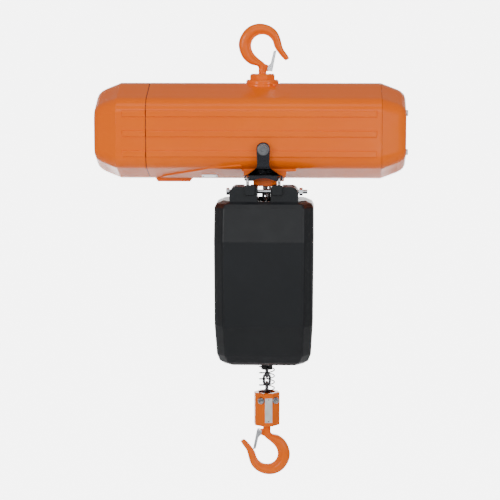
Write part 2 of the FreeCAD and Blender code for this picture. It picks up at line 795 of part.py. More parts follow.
def hook_forging(shank_top):
    """A hook about its throat's centre: a lofted bowl and tip, a round shank and an eye for the latch."""
    wires = [hook_section(Vector(i[0], 0, i[1]), Vector(o[0], 0, o[1]), w) for i, o, w in HOOK_STATIONS]
    bowl = Part.makeLoft(wires, True, False)
    neck = cell("shank_radius")
    collar = rod(neck, Vector(0, 0, 36), Vector(0, 0, 43))
    shank = rod(cell("shank_thread_radius"), Vector(0, 0, 42), Vector(0, 0, shank_top))
    pivot_x, pivot_z = LATCH_PIVOT
    eye = prism([Vector(pivot_x - 3.2, -2.2, pivot_z - 3.2), Vector(-3, -2.2, pivot_z - 7.5),
                 Vector(-3, -2.2, pivot_z + 4.2), Vector(pivot_x - 3.2, -2.2, pivot_z + 3.2)],
                [3.1, 0, 0, 3.1], Vector(0, 4.4, 0))
    pin_hole = rod(1.6, Vector(pivot_x, -5, pivot_z), Vector(pivot_x, 5, pivot_z))
    return bowl.multiFuse([collar, shank, eye]).cut(pin_hole)


def latch_plate():
    """The latch: a channel whose cheeks straddle the hook's eye and whose end rests inside the tip."""
    pivot_x, pivot_z = LATCH_PIVOT
    length = 28.4
    metal = 1.1
    half_width = 4.6
    back_gap = 4.1
    lean = 11.1
    outside = -back_gap - metal
    inner_edge = 2.6
    back = block(outside, -back_gap, -half_width, half_width, -length, 3)
    cheeks = []
    for side in (-1, 1):
        low, high = sorted((side * half_width, side * (half_width - metal)))
        outline = [Vector(outside, low, 3), Vector(inner_edge, low, 3.4), Vector(inner_edge, low, -3.5),
                   Vector(-0.6, low, -9), Vector(-1.2, low, 1.5 - length), Vector(outside, low, -length)]
        cheeks.append(prism(outline, [0, 2.5, 2, 4, 1.5, 0], Vector(0, high - low, 0)))
    plate = fuse_all([back] + cheeks)
    plate = plate.cut(rod(1.65, Vector(0, -6, 0), Vector(0, 6, 0)))
    for level in (-10, -15.5, -21):
        plate = plate.cut(rod(1.4, Vector(outside - 1, 0, level), Vector(1 - back_gap, 0, level)))
    plate.Placement = Placement(Vector(pivot_x, 0, pivot_z), Rotation(Vector(0, 1, 0), lean))
    return plate


def latch_pin():
    pivot_x, pivot_z = LATCH_PIVOT
    heads = [rod(2.6, Vector(pivot_x, s * 4.75, pivot_z), Vector(pivot_x, s * 5.9, pivot_z)) for s in (-1, 1)]
    return fuse_all(heads + [rod(1.5, Vector(pivot_x, -5, pivot_z), Vector(pivot_x, 5, pivot_z))])


LOAD_HOOK_Z = cell("load_hook_z")
TURN = cell("block_turn")


def as_load_hook(shape):
    """From the hook's own frame to the load hook's place, turned with the block."""
    shape.Placement = Placement(Vector(WHEEL_X, 0, LOAD_HOOK_Z), Rotation()).multiply(shape.Placement)
    return shape


def as_suspension_hook(shape):
    """From the hook's own frame to the suspension hook's place: upside down, with its seat at the origin."""
    half_turn = Placement(Vector(0, 0, -cell("throat_radius")), Rotation(Vector(0, 1, 0), 180))
    shape.Placement = half_turn.multiply(shape.Placement)
    return shape


def hex_nut(apothem, bore, low, high):
    nut = hexagon_prism(apothem, low, high - low)
    axis = (high - low).normalize()
    return nut.cut(rod(bore, low - axis, high + axis))


def turned_with_block(shape):
    """Turns a shape about the load line with the hook block."""
    shape.rotate(Vector(WHEEL_X, 0, 0), Vector(0, 0, 1), TURN)
    return shape


# ---------------------------------------------------------------- hook block

BLOCK_TOP, BLOCK_BOTTOM = cell("block_top_z"), cell("block_bottom_z")
BLOCK_HALF = cell("block_half_width")


def block_half(side):
    """One half of the load hook's block: a shell, hollow for the chain's end and the hook's nut."""
    face, corner = 6.3, BLOCK_HALF - 12.4
    outline = [(-face, -BLOCK_HALF), (face, -BLOCK_HALF), (BLOCK_HALF, -corner), (BLOCK_HALF, corner),
               (face, BLOCK_HALF), (-face, BLOCK_HALF), (-BLOCK_HALF, corner), (-BLOCK_HALF, -corner)]
    points = [Vector(WHEEL_X + x, y, BLOCK_BOTTOM) for x, y in outline]
    whole = prism(points, [2.2] * 8, Vector(0, 0, BLOCK_TOP - BLOCK_BOTTOM))
    rims = [e for e in whole.Edges if abs(e.BoundBox.ZMin - e.BoundBox.ZMax) < 1e-6]
    whole = whole.makeFillet(1.6, rims)
    axis = Vector(WHEEL_X, 0, 0)
    base = axis + Vector(0, 0, BLOCK_BOTTOM)
    hollows = [
        rod(13.2, axis + Vector(0, 0, BLOCK_TOP - 5), axis + Vector(0, 0, BLOCK_TOP + 1)),
        rod(7.4, axis + Vector(0, 0, BLOCK_TOP - 22), axis + Vector(0, 0, BLOCK_TOP)),
        rod(12.2, base + Vector(0, 0, 6), base + Vector(0, 0, 24)),
        rod(cell("shank_radius") + 0.4, base - Vector(0, 0, 1), base + Vector(0, 0, 8)),
        rod(2.05, Vector(WHEEL_X, -12, chain_pin_z()), Vector(WHEEL_X, 12, chain_pin_z())),
    ]
    for x in (-11, 11):
        centre = Vector(WHEEL_X + x, 0, BLOCK_TOP - 11.2)
        hollows.append(rod(3.1, centre - Vector(0, 30, 0), centre + Vector(0, 30, 0)))
        hollows.append(rod(5.4, centre - Vector(0, 30, 0), centre - Vector(0, 11, 0)))
        hollows.append(rod(6.2, centre + Vector(0, 11, 0), centre + Vector(0, 30, 0)))
    whole = whole.cut(hollows[0].multiFuse(hollows[1:]))
    near, far = (0.02, 40) if side > 0 else (-40, -0.02)
    keep = block(WHEEL_X - 40, WHEEL_X + 40, near, far, BLOCK_BOTTOM - 5, BLOCK_TOP + 5)
    return turned_with_block(whole.common(keep).removeSplitter())


def chain_pin_z():
    """The height of the pin through the last link's lower end."""
    last = WHEEL_Z - STANDING_CHORD / 2 - PITCH * (cell("load_links") - 1)
    return last - STANDING_CHORD / 2


def block_screws():
    made = []
    for x in (-11, 11):
        centre = Vector(WHEEL_X + x, -11.1, BLOCK_TOP - 11.2)
        head = rod(5, centre - Vector(0, 5.6, 0), centre)
        head = head.makeChamfer(0.7, rims(head, "y", centre.y - 5.6))
        shank = rod(3, centre - Vector(0, 0.2, 0), centre + Vector(0, 27.5, 0))
        socket = hexagon_prism(2.5, centre - Vector(0, 7, 0), Vector(0, 4.6, 0))
        made.append(turned_with_block(head.fuse(shank).cut(socket).removeSplitter()))
    return Part.makeCompound(made)


def block_nuts():
    made = []
    for x in (-11, 11):
        low = Vector(WHEEL_X + x, 11.1, BLOCK_TOP - 11.2)
        made.append(turned_with_block(hex_nut(5, 3.02, low, low + Vector(0, 5, 0))))
    return Part.makeCompound(made)


def coil(radius, wire, pitch, height, base):
    """A round-wire helix standing on base, with its wire's centre at the radius."""
    path = Part.Wire(Part.makeHelix(pitch, height, radius))
    circle = Part.Wire(Part.makeCircle(wire / 2, Vector(radius, 0, 0), Vector(0, 1, 0)))
    made = path.makePipeShell([circle], True, True)
    made.translate(base)
    return made


SPRING_TOP = -455.0
GUIDE_TUBE_BOTTOM = -502.0
SPRING_WIRE = 1.7


def buffer_spring():
    base = BLOCK_TOP - 5 + SPRING_WIRE / 2 + 0.05
    return coil(11.4, SPRING_WIRE, 9.4, SPRING_TOP - SPRING_WIRE / 2 - 0.05 - base, Vector(WHEEL_X, 0, base))


def spring_guide():
    """The guide on top of the buffer spring: a flange and a tube round the chain, slit front and back."""
    flange = rod(13.2, Vector(WHEEL_X, 0, SPRING_TOP), Vector(WHEEL_X, 0, SPRING_TOP + 5))
    tube = rod(8.6, Vector(WHEEL_X, 0, GUIDE_TUBE_BOTTOM), Vector(WHEEL_X, 0, SPRING_TOP + 1))
    way = rod(7.05, Vector(WHEEL_X, 0, GUIDE_TUBE_BOTTOM - 1), Vector(WHEEL_X, 0, SPRING_TOP + 6))
    slit = block(WHEEL_X - 2, WHEEL_X + 2, -12, 12, GUIDE_TUBE_BOTTOM - 1, SPRING_TOP - 3)
    slit.rotate(Vector(WHEEL_X, 0, 0), Vector(0, 0, 1), TURN)
    return fuse_all([flange, tube]).cut(way).cut(slit).removeSplitter()


# ---------------------------------------------------------------- chain container

CX = cell("container_x")


def container_section(z, half_width, front, back, shrink):
    """The container's section at one height: a box whose front corners are cut off at a slant."""
    slant = 19 - shrink * 0.6
    narrow = half_width - 13.5 + shrink * 0.4
    left, right, side = CX - half_width, CX + half_width, front + slant
    corners = [(CX - narrow, front), (CX + narrow, front), (right, side),
               (right, back), (left, back), (left, side)]
    radii = [5 - shrink, 5 - shrink, 14, 16 - shrink, 16 - shrink, 14]
    return rounded_wire([Vector(x, y, z) for x, y in corners], radii)


# Heights of the container's outer shape: z, half width, front, back.
CONTAINER_LEVELS = [
    (-477, 59, -104, -37),
    (-472.5, 65, -109.5, -31),
    (-462, 68.8, -114.5, -27.5),
    (-417, 71.3, -128.5, -25.5),
    (-294, 72, -129.5, -25.5),
    (-247, 71.8, -116, -25.5),
    (-241.5, 69, -112.5, -26.5),
    (-237.5, 60, -107, -28.5),
]


def container_solid(shrink):
    """The container's outer shape, or its hollow when shrunk by the wall."""
    wires = []
    for z, half, front, back in CONTAINER_LEVELS:
        level = z + shrink if z == CONTAINER_LEVELS[0][0] else z
        if z == CONTAINER_LEVELS[-1][0]:
            level = z - shrink
        if z == CONTAINER_LEVELS[-2][0]:
            level = z - shrink / 2
        wires.append(container_section(level, half - shrink, front + shrink, back - shrink, shrink))
    return Part.makeLoft(wires, True, True)


SHOULDER_TOP = -216.5
SHOULDER_FRONT, SHOULDER_BACK = -108, -66
EYES = (cell("eye_left_x"), cell("eye_right_x"))
SWING_Y, SWING_Z = cell("swing_y"), cell("swing_z")
CONTAINER_SPLIT = SWING_Y


def shoulders(shrink):
    """The two raised shoulders that flank the chain's way in, or their hollows."""
    made = []
    for low, high, left_radius, right_radius in ((-44, -4, 10, 4), (15.5, 55, 4, 10)):
        near, top = SHOULDER_FRONT + shrink, SHOULDER_TOP - shrink
        corners = [(low + shrink, -241), (high - shrink, -241), (high - shrink, top), (low + shrink, top)]
        points = [Vector(x, near, z) for x, z in corners]
        radii = [0, 0, right_radius - shrink, left_radius - shrink]
        made.append(prism(points, radii, Vector(0, SHOULDER_BACK - SHOULDER_FRONT - 2 * shrink, 0)))
    return made


def front_pads():
    """The rounded pads on the front of the shoulders."""
    made = []
    for low, high in ((-22.3, -6.4), (17.2, 33)):
        corners = [(low, -229), (high, -229), (high, -214), (low, -214)]
        points = [Vector(x, -112, z) for x, z in corners]
        pad = prism(points, [3.5] * 4, Vector(0, 6, 0))
        made.append(pad.makeFillet(1.2, [e for e in pad.Edges if e.BoundBox.YMax < -112 + 1e-3]))
    return made


def container_half(front):
    """The front or rear shell of the container."""
    wall = cell("container_wall")
    outer = container_solid(0).multiFuse(shoulders(0) + (front_pads() if front else []))
    mouth = block(-4.2, 15.7, -101, -29, -245, -225)
    hollow = container_solid(wall).multiFuse(shoulders(wall) + [mouth])
    shell = outer.cut(hollow)
    left, right = Vector(CX - 70, SWING_Y, SWING_Z), Vector(CX + 70, SWING_Y, SWING_Z)
    ways = [rod(cell("rod_radius") + 0.03, left, right)]
    for x in EYES:
        ways.append(block(x - 4.5, x + 4.5, SWING_Y - 12, SWING_Y + 12, SWING_Z - 11, SHOULDER_TOP + 5))
    shell = shell.cut(ways[0].multiFuse(ways[1:]))
    near, far = (-200, CONTAINER_SPLIT - 0.02) if front else (CONTAINER_SPLIT + 0.02, 0)
    return shell.common(block(-100, 120, near, far, -500, -190)).removeSplitter()


def container_rod():
    """The rod that the container hangs from, with a head at one end and a nut on its thread at the other."""
    radius = cell("rod_radius")
    left, right = -50, 68
    shaft = rod(radius, Vector(left, SWING_Y, SWING_Z), Vector(right, SWING_Y, SWING_Z))
    head = rod(5.2, Vector(left, SWING_Y, SWING_Z), Vector(-45.5, SWING_Y, SWING_Z))
    head = head.makeFillet(1, [e for e in head.Edges if e.Closed and abs(e.CenterOfMass.x - left) < 1e-6])
    bar = shaft.fuse(head).removeSplitter()
    nut = hex_nut(5, radius + 0.01, Vector(56, SWING_Y, SWING_Z), Vector(61.2, SWING_Y, SWING_Z))
    return Part.makeCompound([bar, nut])


STRAP_BACK = -HALF_DEPTH - cell("rib_proud") - 0.1


def hanger_strap():
    """The steel strap on the front of the housing; its foot's eyes carry the container's two shackles."""
    x, top, eye_z = cell("hanger_x"), cell("hanger_bolt_z"), cell("eye_z")
    thick = cell("strap_thickness")
    y = STRAP_BACK - thick
    half = (EYES[1] - EYES[0]) / 2
    centre = (EYES[1] + EYES[0]) / 2
    points = [Vector(x - 10, y, top + 10.2), Vector(x + 10, y, top + 10.2), Vector(x + 8.6, y, top - 26),
              Vector(centre + half, y, eye_z + 4.6), Vector(centre + half + 4.8, y, eye_z + 3),
              Vector(centre + half + 4.8, y, eye_z - 4.6), Vector(centre + half - 6, y, eye_z - 4.6),
              Vector(centre, y, eye_z + 1.5), Vector(centre - half + 6, y, eye_z - 4.6),
              Vector(centre - half - 4.8, y, eye_z - 4.6), Vector(centre - half - 4.8, y, eye_z + 3),
              Vector(centre - half, y, eye_z + 4.6), Vector(x - 8.6, y, top - 26)]
    radii = [9.4, 9.4, 10, 2, 2, 3, 2, 30, 2, 3, 2, 2, 10]
    front_view = prism([Vector(p.x, y - 5, p.z) for p in points], radii, Vector(0, 30, 0))
    foot = SWING_Y - thick / 2
    side = [Vector(-40, y, top + 20), Vector(-40, y, -192), Vector(-40, foot, -201.5), Vector(-40, foot, -220),
            Vector(-40, foot + thick, -220), Vector(-40, foot + thick, -199.5), Vector(-40, y + thick, -190),
            Vector(-40, y + thick, top + 20)]
    side_view = prism(side, [0, 8, 3.5, 0, 0, 8, 3.5, 0], Vector(90, 0, 0))
    plate = front_view.common(side_view)
    holes = [rod(5.2, Vector(x, y - 1, top), Vector(x, y + thick + 1, top))]
    for eye in EYES:
        holes.append(rod(2.9, Vector(eye, foot - 1, eye_z), Vector(eye, foot + thick + 1, eye_z)))
    return plate.cut(holes[0].multiFuse(holes[1:])).removeSplitter()


def shackles():
    """Two closed wire links: each goes through an eye of the strap and under the container's rod."""
    wire = 2
    bend = 5.3
    top = cell("eye_z")
    bottom = SWING_Z - cell("rod_radius") - wire - 0.05
    made = []
    for x in EYES:
        upper, lower = top - bend, bottom + bend
        pieces = []
        for side in (-1, 1):
            centre = Vector(x, SWING_Y + side * bend, lower)
            section = Part.Face(Part.Wire(Part.makeCircle(wire, centre, Vector(0, 0, 1))))
            pieces.append(section.extrude(Vector(0, 0, upper - lower)))
        for z, sign in ((upper, 1), (lower, -1)):
            section = disc_face(Vector(x, SWING_Y + bend, z), wire, Vector(0, 0, 1))
            pieces.append(section.revolve(Vector(x, SWING_Y, z), Vector(sign, 0, 0), 180))
        made.append(fuse_all(pieces))
    return Part.makeCompound(made)


def hanger_bolt():
    """A socket-head screw with a washer, through the strap into the housing."""
    x, z = cell("hanger_x"), cell("hanger_bolt_z")
    front = STRAP_BACK - cell("strap_thickness")
    washer = rod(8.6, Vector(x, front - 1.6, z), Vector(x, front, z))
    head_back = front - 1.6
    head = rod(7.4, Vector(x, head_back - 8, z), Vector(x, head_back, z))
    head = head.makeFillet(0.8, rims(head, "y", head_back - 8))
    shank = rod(5, Vector(x, head_back - 0.5, z), Vector(x, 14 - HALF_DEPTH, z))
    socket = hexagon_prism(4, Vector(x, head_back - 9, z), Vector(0, 6, 0))
    return fuse_all([washer, head, shank]).cut(socket)


# ---------------------------------------------------------------- chain guide and cable entry


def chain_way(y, bottom, top):
    """A cross-shaped way for one run of the chain."""
    arms = [block(WHEEL_X - 7.4, WHEEL_X + 7.4, y - 2.9, y + 2.9, bottom, top),
            block(WHEEL_X - 2.9, WHEEL_X + 2.9, y - 7.4, y + 7.4, bottom, top)]
    return arms[0].fuse(arms[1])


def chain_guide():
    """The casting that closes the housing's underside and guides both runs of the chain."""
    half = GUIDE_HALF - 0.5
    body = block(GUIDE_X - half, GUIDE_X + half, -57.5, 19.5, -212.5, -178)
    body = body.makeFillet(3, upright_edges(body))
    flange = block(GUIDE_X - 31, GUIDE_X + 31, -66.5, -58, PAD_BOTTOM - 8.2, PAD_BOTTOM)
    foot = PAD_BOTTOM - 8
    lower = [e for e in flange.Edges if e.BoundBox.YLength > 5 and e.BoundBox.ZMax < foot]
    flange = flange.makeFillet(4, lower)
    nose = block(GUIDE_X - 17.5, GUIDE_X + 17.5, -57, 34, -220, -211)
    nose = nose.makeFillet(3, upright_edges(nose))
    rear = block(GUIDE_X - 19, GUIDE_X + 19, 21, 34, -220, REAR_PAD_BOTTOM)
    casting = fuse_all([body, flange, nose.cut(block(-40, 60, 19.5, 40, REAR_PAD_BOTTOM, -200)), rear])
    tools = [chain_way(0, -225, -170), chain_way(slack_top().y, -225, -170)]
    for x, y, bottom in guide_screw_places():
        tools.append(rod(2.3, Vector(x, y, bottom - 10), Vector(x, y, bottom + 1)))
    hollow = block(GUIDE_X - half + 5, GUIDE_X - 14, -53, 15, -207, -170)
    tools += [hollow, hollow.mirror(Vector(GUIDE_X, 0, 0), Vector(1, 0, 0))]
    return casting.cut(tools[0].multiFuse(tools[1:])).removeSplitter()


def guide_screws():
    made = []
    for x, y, face in guide_screw_places():
        under = face - (8.2 if y < 0 else 5.6)
        head = rod(3.8, Vector(x, y, under - 4), Vector(x, y, under))
        head = head.makeChamfer(0.5, rims(head, "z", under - 4))
        shank = rod(2, Vector(x, y, under - 0.2), Vector(x, y, face + 15))
        socket = hexagon_prism(1.6, Vector(x, y, under - 5), Vector(0, 0, 3.4))
        made.append(head.fuse(shank).cut(socket))
    return Part.makeCompound(made)


ENTRY_BOTTOM = ENTRY_TOP - 4.8
ENTRY_HOLE_RADIUS = 9.2
ENTRY_HOLE_X = -142
ENTRY_HOLE_YS = (10, 36)


def cable_entry_plate():
    """The plate under the left end, with two threaded holes for cable glands."""
    corners = [(ENTRY_LEFT, ENTRY_TOP), (ENTRY_RIGHT, ENTRY_TOP), (ENTRY_RIGHT - 3.5, ENTRY_BOTTOM),
               (ENTRY_LEFT + 3.5, ENTRY_BOTTOM)]
    points = [Vector(x, ENTRY_FRONT, z) for x, z in corners]
    plate = prism(points, [0.8, 0.8, 1.5, 1.5], Vector(0, ENTRY_BACK - ENTRY_FRONT, 0))
    front, back = ENTRY_FRONT + 6.5, ENTRY_BACK - 6.5
    collar = block(ENTRY_LEFT + 6.5, ENTRY_RIGHT - 6.5, front, back, ENTRY_TOP - 1, ENTRY_TOP + 4)
    plate = plate.fuse(collar)
    for y in ENTRY_HOLE_YS:
        low, high = Vector(ENTRY_HOLE_X, y, ENTRY_BOTTOM - 1), Vector(ENTRY_HOLE_X, y, ENTRY_TOP + 5)
        plate = plate.cut(rod(ENTRY_HOLE_RADIUS, low, high))
    return plate.removeSplitter()


def nameplate():
    """A blank plate on the housing's lower front slope."""
    plate = block(-88, -65, -8, 8, -1.1, 0)
    plate = plate.makeFillet(1, upright_edges(plate))
    low = BODY_Z - APEX_HALF + math.tan(SLOPE) * 34 - 1.6 / math.cos(SLOPE) - 0.02
    plate.Placement = Placement(Vector(0, -34, low), Rotation(Vector(1, 0, 0), -math.degrees(SLOPE)))
    return plate


# ---------------------------------------------------------------- stations along the body

ELECTRICS_PLATE = (-165, -158)
REAR_SHIELD = (-126, -118)
MOTOR_BULKHEAD = (-32, -26)
GEAR_BULKHEAD = (100, 108)
END_PLATE = (164, 172)
STATOR = (-104, -44)
MOTOR_BEARING, INTER_BEARING, WHEEL_BEARING = 13, 12, 16
COVER_SCREW_Y, LEFT_SCREW_Z, RIGHT_SCREW_Z = 40, 24, 28.5


def tapped(y_low, x_high, rise):
    """The tapped holes that a cover's screws enter."""
    made = []
    for y in (-COVER_SCREW_Y, COVER_SCREW_Y):
        for z in (-rise, rise):
            made.append(rod(2.42, Vector(y_low - 1, y, BODY_Z + z), Vector(x_high + 1, y, BODY_Z + z)))
    return made


def frame_plates():
    """The plates across the housing that carry the electrics, the motor and the shafts."""
    motor = (MOTOR_BEARING, MOTOR_Y, MOTOR_Z)
    inter = (INTER_BEARING, INTER_Y, INTER_Z)
    wheel = (WHEEL_BEARING, WHEEL_Y, WHEEL_Z)
    electrics = bulkhead(*ELECTRICS_PLATE, [], tapped(*ELECTRICS_PLATE, LEFT_SCREW_Z))
    standoffs = []
    for y in (-28, -6):
        for z in (-33, 33):
            standoffs.append(rod(2.5, Vector(-172, y, BODY_Z + z), Vector(-164.9, y, BODY_Z + z)))
    feature("electrics_plate", electrics.multiFuse(standoffs).removeSplitter())
    feature("motor_rear_shield", bulkhead(*REAR_SHIELD, [motor]))
    feature("motor_bulkhead", bulkhead(*MOTOR_BULKHEAD, [(9, MOTOR_Y, MOTOR_Z), wheel]))
    feature("gear_bulkhead", bulkhead(*GEAR_BULKHEAD, [motor, inter, wheel]))
    feature("gear_end_plate", bulkhead(*END_PLATE, [inter, wheel], tapped(*END_PLATE, RIGHT_SCREW_Z)))


def bearing_ring(shaft_radius, outer, span, y, z):
    """A bearing between a shaft and its plate, with a running gap on the shaft."""
    low, high = Vector(span[0], y, z), Vector(span[1], y, z)
    return rod(outer - 0.01, low, high).cut(rod(shaft_radius + cell("running_gap"), low - Vector(1, 0, 0),
                                                high + Vector(1, 0, 0)))


def shaft_bearings():
    motor, inter, wheel = cell("motor_shaft_radius"), cell("inter_shaft_radius"), cell("wheel_shaft_radius")
    rings = []
    for span in (REAR_SHIELD, GEAR_BULKHEAD):
        rings.append(bearing_ring(motor, MOTOR_BEARING, span, MOTOR_Y, MOTOR_Z))
    for span in (GEAR_BULKHEAD, END_PLATE):
        rings.append(bearing_ring(inter, INTER_BEARING, span, INTER_Y, INTER_Z))
    for span in (MOTOR_BULKHEAD, GEAR_BULKHEAD, END_PLATE):
        rings.append(bearing_ring(wheel, WHEEL_BEARING, span, WHEEL_Y, WHEEL_Z))
    return Part.makeCompound(rings)


def cover_screws():
    """The socket screws of both covers: recessed at the left, standing proud at the right."""
    made = []
    for y in (-COVER_SCREW_Y, COVER_SCREW_Y):
        for z in (-LEFT_SCREW_Z, LEFT_SCREW_Z):
            made.append(cover_screw(cell("left_end_x") + 0.6, 4.3, 1, y, BODY_Z + z, 84))
        for z in (-RIGHT_SCREW_Z, RIGHT_SCREW_Z):
            made.append(cover_screw(cell("right_end_x") + 3.4, 3.4, -1, y, BODY_Z + z, 49))
    return Part.makeCompound(made)


def along_x(label, profile, y, z):
    """A turned piece on an axis along X; its profile holds (radius, x) corners."""
    return revolved(label, profile, 0, y, z, ALONG_X)


def motor_and_brake():
    motor_y, motor_z = "dims.motor_y", "dims.body_z"
    along_x("motor_stator", ring_profile(27, 50, *STATOR), motor_y, motor_z)
    windings = []
    for x in (STATOR[0] - 9, STATOR[1]):
        hollow = cylinder(31, 11, x - 1, motor_y, motor_z, ALONG_X)
        windings.append(cut(cylinder(45, 9, x, motor_y, motor_z, ALONG_X), [hollow]))
    group("stator_windings", windings)
    along_x("rotor_core", ring_profile("dims.motor_shaft_radius + 0.01", 26.4, *STATOR), motor_y, motor_z)
    shaft, shaft_end = "dims.motor_shaft_radius", "dims.motor_shaft_end_radius"
    steps = [(0, -133), (shaft, -133), (shaft, 112), (shaft_end, 112), (shaft_end, 135), (0, 135)]
    along_x("motor_shaft", steps, motor_y, motor_z)
    along_x("brake_disc", ring_profile("dims.motor_shaft_radius + 0.01", 34, -131.9, -126.2), motor_y, motor_z)
    along_x("brake_armature", ring_profile(13, 36, -136.2, -132.1), motor_y, motor_z)
    along_x("brake_magnet", [(14, -158), (36, -158), (36, -136.9), (29, -136.9), (29, -142), (20, -142),
                             (20, -136.9), (14, -136.9)], motor_y, motor_z)


def shafts():
    inter, wheel = "dims.inter_shaft_radius", "dims.wheel_shaft_radius"
    along_x("intermediate_shaft", [(0, 100.5), (inter, 100.5), (inter, 171.5), (0, 171.5)], INTER_Y, INTER_Z)
    along_x("wheel_shaft", [(0, -31.5), (wheel, -31.5), (wheel, 171.5), (0, 171.5)], "dims.wheel_y",
            "dims.body_z")


def suspension():
    """The flange on the roof, its eight-sided nut, and the thrust bearing above the hook's inner nut."""
    hole = "dims.shank_radius + 0.4"
    radius, stem = "dims.flange_radius", "dims.stem_radius"
    top, bottom, foot = "dims.cap_bottom_z", "dims.flange_bottom_z", "dims.stem_bottom_z"
    rim = [(radius, bottom), (radius, f"{top} - 2.4"), (f"{radius} - 0.7", f"{top} - 0.9"),
           (f"{radius} - 2.2", top)]
    revolved("suspension_flange", [(hole, foot), (stem, foot), (stem, bottom)] + rim + [(hole, top)])
    height = "dims.cap_top_z - dims.cap_bottom_z"
    eight_sided = doc.addObject("Part::Prism", "nut_prism")
    eight_sided.Polygon = 8
    bind(eight_sided, Circumradius="dims.cap_radius + 0.6", Height=height)
    place(eight_sided, 0, 0, top, Rotation(Vector(0, 0, 1), 22.5))
    chamfer = doc.addObject("Part::Cone", "nut_chamfer")
    bind(chamfer, Radius1="dims.cap_radius + 5", Radius2="dims.cap_radius - 2.6", Height=height)
    place(chamfer, 0, 0, top)
    solid_nut = doc.addObject("Part::Common", "nut_body")
    solid_nut.Base = eight_sided
    solid_nut.Tool = chamfer
    node(cut(solid_nut, [cylinder(hole, f"{height} + 2", 0, 0, f"{top} - 1")]), "suspension_nut")
    revolved("suspension_bearing", ring_profile(hole, 12, f"{foot} - 4", foot))


def electrics():
    """The boards and switchgear in the left cover."""
    plate = ELECTRICS_PLATE[0]
    group("contactors", [box(32, 26, 32, plate - 32, 3, f"dims.body_z + {low}") for low in (4, -36)])
    node(box(30, 18, 34, plate - 30, -70, "dims.body_z - 17"), "transformer")
    rails = [box(20, 13, 10.4, plate - 20, 52, f"dims.body_z + {-33 + 11 * i}") for i in range(6)]
    group("terminal_block", rails)
    board = block(-173.6, -172, -32, -2, BODY_Z - 38, BODY_Z + 38)
    chips = [block(-180, -173.5, -26, -10, BODY_Z + z, BODY_Z + z + 12) for z in (-30, -8, 14)]
    caps = [rod(4.5, Vector(-188, -9, BODY_Z + z), Vector(-173.5, -9, BODY_Z + z)) for z in (-17, 8)]
    feature("control_board", fuse_all([board] + chips + caps))


def build():
    """Makes every sub-part."""
    feature("main_housing", main_housing())
    feature("electric_cover", electric_cover())
    feature("electric_cover_seal", section_seal(cell("seam_x") - cell("seal_gap"), cell("seam_x"), 0.7))
    feature("gear_cover", gear_cover())
    feature("cover_screws", cover_screws())
    frame_plates()
    feature("shaft_bearings", shaft_bearings())
    motor_and_brake()
    shafts()
    gear_train()
    feature("load_wheel", pocket_wheel())
    suspension()
    electrics()
    feature("wheel_chain", wheel_chain())
    feature("chain_guide", chain_guide())
    feature("chain_guide_screws", guide_screws())
    feature("cable_entry_plate", cable_entry_plate())
    feature("nameplate", nameplate())
    feature("container_hanger", hanger_strap())
    feature("hanger_bolt", hanger_bolt())
    feature("container_shackles", shackles())
    hooks()
    hook_block()
    feature("container_front", container_half(True))
    feature("container_rear", container_half(False))
    feature("container_rod", container_rod())
    feature("stored_chain", stored_chain())


def hooks():
    """Both hooks with their nuts and latches."""
    inner_nut_top = cell("stem_bottom_z") - 4.1
    shank_end = inner_nut_top - cell("suspension_nut_height") - 2
    feature("suspension_hook", as_suspension_hook(hook_forging(-shank_end - cell("throat_radius"))))
    feature("suspension_hook_nut", hex_nut(9.5, cell("shank_thread_radius") + 0.02,
            Vector(0, 0, inner_nut_top - cell("suspension_nut_height")), Vector(0, 0, inner_nut_top)))
    feature("suspension_latch", as_suspension_hook(Part.makeCompound([latch_plate(), latch_pin()])))
    nut_bottom = BLOCK_BOTTOM + 10.1
    feature("load_hook", as_load_hook(hook_forging(nut_bottom + 11 - LOAD_HOOK_Z)))
    feature("load_hook_nut", hex_nut(9.5, cell("shank_thread_radius") + 0.02, Vector(WHEEL_X, 0, nut_bottom),
            Vector(WHEEL_X, 0, nut_bottom + 9)))
    feature("load_latch", as_load_hook(Part.makeCompound([latch_plate(), latch_pin()])))


def hook_block():
    """The load hook's block, what is in it, and the chain and buffer above it."""
    feature("block_front_half", block_half(-1))
    feature("block_rear_half", block_half(1))
    feature("block_fasteners", Part.makeCompound(block_screws().Solids + block_nuts().Solids))
    face = -BLOCK_HALF - 0.01
    label = block(WHEEL_X - 5.6, WHEEL_X + 5.6, face - 0.39, face, BLOCK_BOTTOM + 6, BLOCK_TOP - 7)
    feature("block_label", turned_with_block(label))
    pin = rod(1.98, Vector(WHEEL_X, -11.8, chain_pin_z()), Vector(WHEEL_X, 11.8, chain_pin_z()))
    feature("chain_pin", turned_with_block(pin))
    links = load_chain().Solids
    feature("upper_load_chain", Part.makeCompound(links[:UPPER_LINKS]))
    feature("load_chain", Part.makeCompound(links[UPPER_LINKS:]))
    feature("buffer_spring", buffer_spring())
    feature("spring_guide", spring_guide())
    base = BLOCK_BOTTOM + 6
    revolved("hook_bearing", ring_profile("dims.shank_radius + 0.4", 11.5, 0, 4), "dims.wheel_x", 0, base)


UPPER_LINKS = 5

build()
doc.recompute()
for item in doc.Objects:
    if {"Invalid", "Error"} & set(item.State):
        raise RuntimeError(f"{item.Name} is {item.State}")
for item in nodes:
    if item.Shape.isNull() or not item.Shape.isValid():
        raise RuntimeError(f"{item.Label} has a bad shape")
os.makedirs("parts", exist_ok=True)
for item in nodes:
    item.Shape.exportStep(f"parts/{item.Label}.step")
print(len(nodes), "sub-parts")
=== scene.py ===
"""The chain hoist's looks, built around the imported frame."""
import json
import math

import bmesh
import bpy
from mathutils import Matrix, Vector


